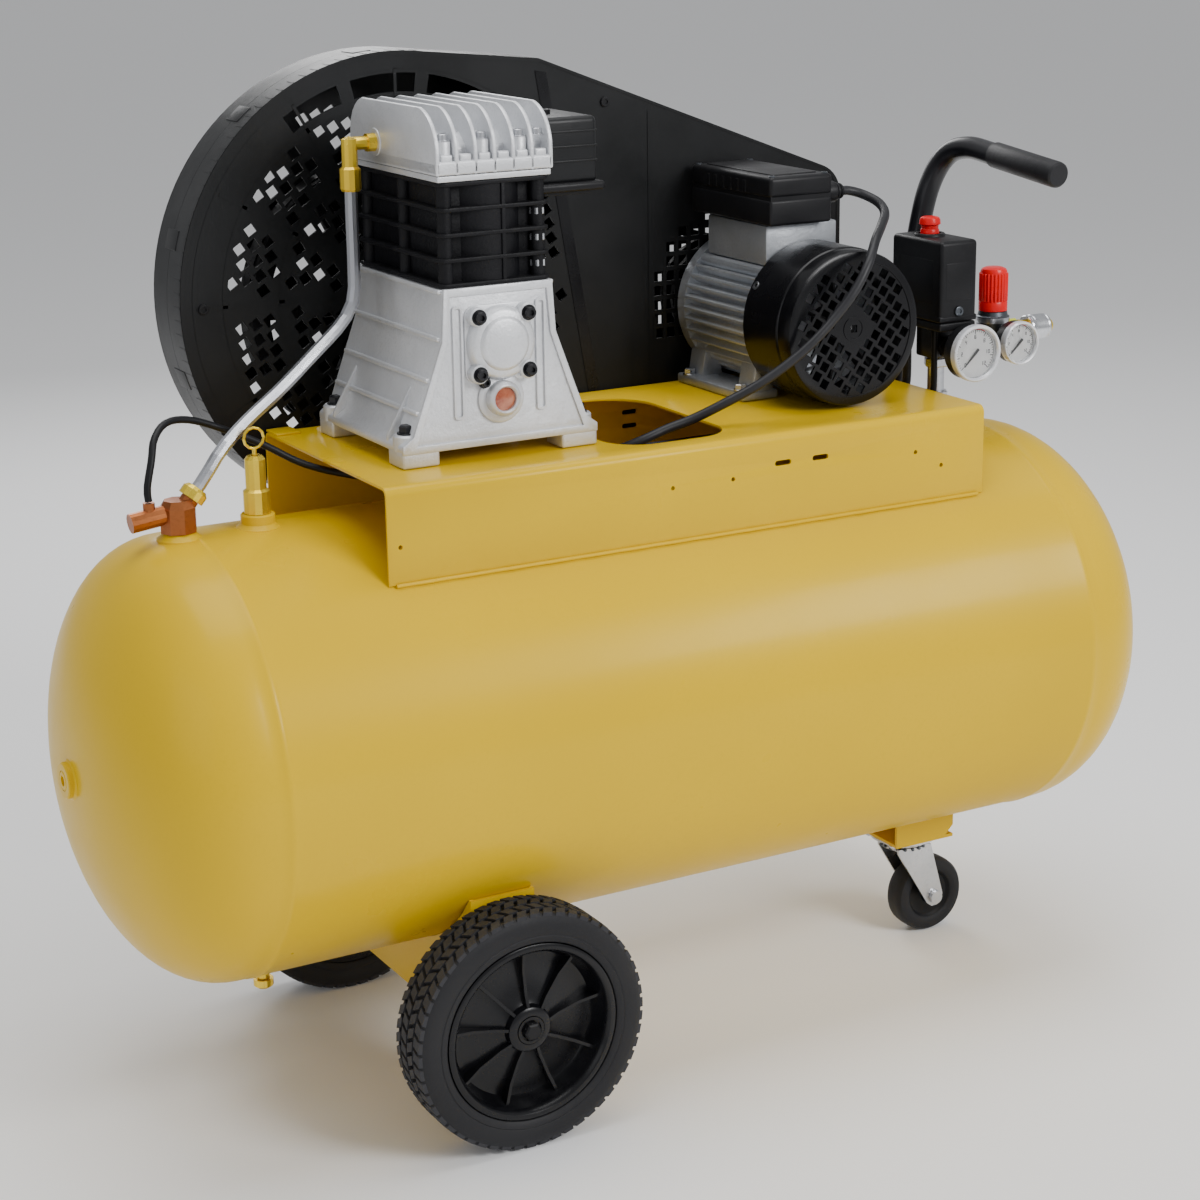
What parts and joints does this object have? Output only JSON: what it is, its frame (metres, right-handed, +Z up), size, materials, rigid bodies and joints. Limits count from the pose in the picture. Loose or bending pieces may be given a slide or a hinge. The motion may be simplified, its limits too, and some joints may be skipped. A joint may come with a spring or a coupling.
{
  "type": "wheelbarrow air compressor",
  "caption": "Belt-driven piston air compressor on a horizontal yellow tank with two wheels, a swivel caster, a guarded drive, a motor, gauges and a handle.",
  "frame": {"origin": "on the ground below the middle of the machine", "axes": "+X along the tank towards the handle and outlet, -Y the front with the gauges, +Z up"},
  "size_m": [1.0154, 0.409, 0.8594],
  "materials": {
    "yellow_paint": "glossy yellow enamel",
    "black_paint": "satin black paint",
    "black_plastic": "black moulded plastic",
    "rubber": "black rubber",
    "tyre": "black tyre rubber",
    "cast_aluminium": "cast aluminium, lightly bead blasted",
    "cast_iron": "black painted cast iron",
    "steel": "zinc plated steel",
    "brass": "machined brass",
    "aluminium_pipe": "drawn aluminium tube",
    "red_plastic": "red moulded plastic",
    "sight": "amber oil window in a black bezel",
    "gauge_case": "black case with a white dial",
    "needle": "black painted pointer"
  },
  "bodies": {
    "frame": {"tank": "yellow_paint", "mounting_plate": "yellow_paint", "axle_bracket": "yellow_paint", "axle": "steel", "caster_bracket": "yellow_paint", "caster_swivel_plate": "steel", "drain_valve_body": "brass", "safety_valve_body": "brass", "check_valve": "brass", "check_valve_nut": "brass", "delivery_pipe": "aluminium_pipe", "delivery_elbow": "brass", "relief_tube": "black_plastic", "motor_cable": "rubber", "switch_base": "black_plastic", "switch_cover": "black_plastic", "mains_gland": "black_plastic", "riser_manifold": "steel", "regulator_body": "black_plastic", "tank_gauge": "gauge_case", "outlet_gauge": "gauge_case", "coupler_body": "brass", "handle_tube": "black_paint", "handle_grip": "rubber", "crankcase": "cast_aluminium", "bearing_cover": "cast_aluminium", "sight_glass": "sight", "cylinder_block": "cast_iron", "valve_plate": "cast_aluminium", "cylinder_head": "cast_aluminium", "air_filter": "black_plastic", "front_piston": "cast_aluminium", "rear_piston": "cast_aluminium", "drive_belt": "rubber", "motor_housing": "cast_aluminium", "motor_stator": "steel", "fan_cover": "black_plastic", "terminal_box": "black_plastic", "cable_gland": "black_plastic", "guard_front": "black_plastic", "guard_rear": "black_plastic"},
    "front_wheel": {"front_tyre": "tyre", "front_rim": "black_plastic"},
    "rear_wheel": {"rear_tyre": "tyre", "rear_rim": "black_plastic"},
    "caster_yoke": {"caster_fork": "steel", "caster_axle_bolt": "steel"},
    "caster_roller": {"caster_wheel": "rubber"},
    "crank": {"flywheel": "cast_iron", "crankshaft": "steel"},
    "rotor": {"motor_pulley": "steel", "rotor_shaft": "steel", "cooling_fan": "black_plastic"},
    "switch_button": {"switch_knob": "red_plastic"},
    "regulator_dial": {"regulator_knob": "red_plastic"},
    "tank_needle": {"tank_gauge_needle": "needle"},
    "outlet_needle": {"outlet_gauge_needle": "needle"},
    "drain_tap": {"drain_valve_knob": "brass"},
    "safety_pull": {"safety_valve_ring": "steel"},
    "coupler_collar": {"coupler_sleeve": "steel"}
  },
  "joints": [
    {"name": "front_wheel_spin", "type": "hinge", "parent": "frame", "child": "front_wheel", "pos_m": [-0.196, -0.1805, 0.1035], "axis": [0, 1, 0], "continuous": true},
    {"name": "rear_wheel_spin", "type": "hinge", "parent": "frame", "child": "rear_wheel", "pos_m": [-0.196, 0.1805, 0.1035], "axis": [0, 1, 0], "continuous": true},
    {"name": "caster_swivel", "type": "hinge", "parent": "frame", "child": "caster_yoke", "pos_m": [0.316, 0, 0.0941], "axis": [0, 0, 1], "continuous": true},
    {"name": "caster_roll", "type": "hinge", "parent": "caster_yoke", "child": "caster_roller", "pos_m": [0.342, 0, 0.0375], "axis": [0, 1, 0], "continuous": true},
    {"name": "flywheel_spin", "type": "hinge", "parent": "frame", "child": "crank", "pos_m": [-0.14, 0.174, 0.641], "axis": [0, 1, 0], "continuous": true},
    {"name": "motor_spin", "type": "hinge", "parent": "frame", "child": "rotor", "pos_m": [0.208, 0.174, 0.6165], "axis": [0, 1, 0], "continuous": true},
    {"name": "switch_knob_pull", "type": "slide", "parent": "frame", "child": "switch_button", "axis": [0, 0, 1], "range_m": [0, 0.006]},
    {"name": "regulator_knob_turn", "type": "hinge", "parent": "frame", "child": "regulator_dial", "pos_m": [0.406, 0, 0.626], "axis": [0, 0, 1], "range_deg": [-360, 360]},
    {"name": "tank_gauge_swing", "type": "hinge", "parent": "frame", "child": "tank_needle", "pos_m": [0.342, -0.0589, 0.581], "axis": [0, 1, 0], "range_deg": [0, 270], "stiffness_Nm_per_rad": 0.0004},
    {"name": "outlet_gauge_swing", "type": "hinge", "parent": "frame", "child": "outlet_needle", "pos_m": [0.406, -0.0409, 0.581], "axis": [0, 1, 0], "range_deg": [0, 270], "stiffness_Nm_per_rad": 0.0003},
    {"name": "drain_knob_turn", "type": "hinge", "parent": "frame", "child": "drain_tap", "pos_m": [-0.348, 0, 0.104], "axis": [0, 0, 1], "range_deg": [0, 360]},
    {"name": "safety_ring_pull", "type": "slide", "parent": "frame", "child": "safety_pull", "axis": [0, 0, 1], "range_m": [0, 0.004], "stiffness_N_per_m": 400},
    {"name": "coupler_sleeve_slide", "type": "slide", "parent": "frame", "child": "coupler_collar", "axis": [1, 0, 0], "range_m": [-0.006, 0], "stiffness_N_per_m": 500}
  ],
  "couplings": [
    {"joint": "motor_spin", "follows": "flywheel_spin", "ratio": 2.5}
  ]
}
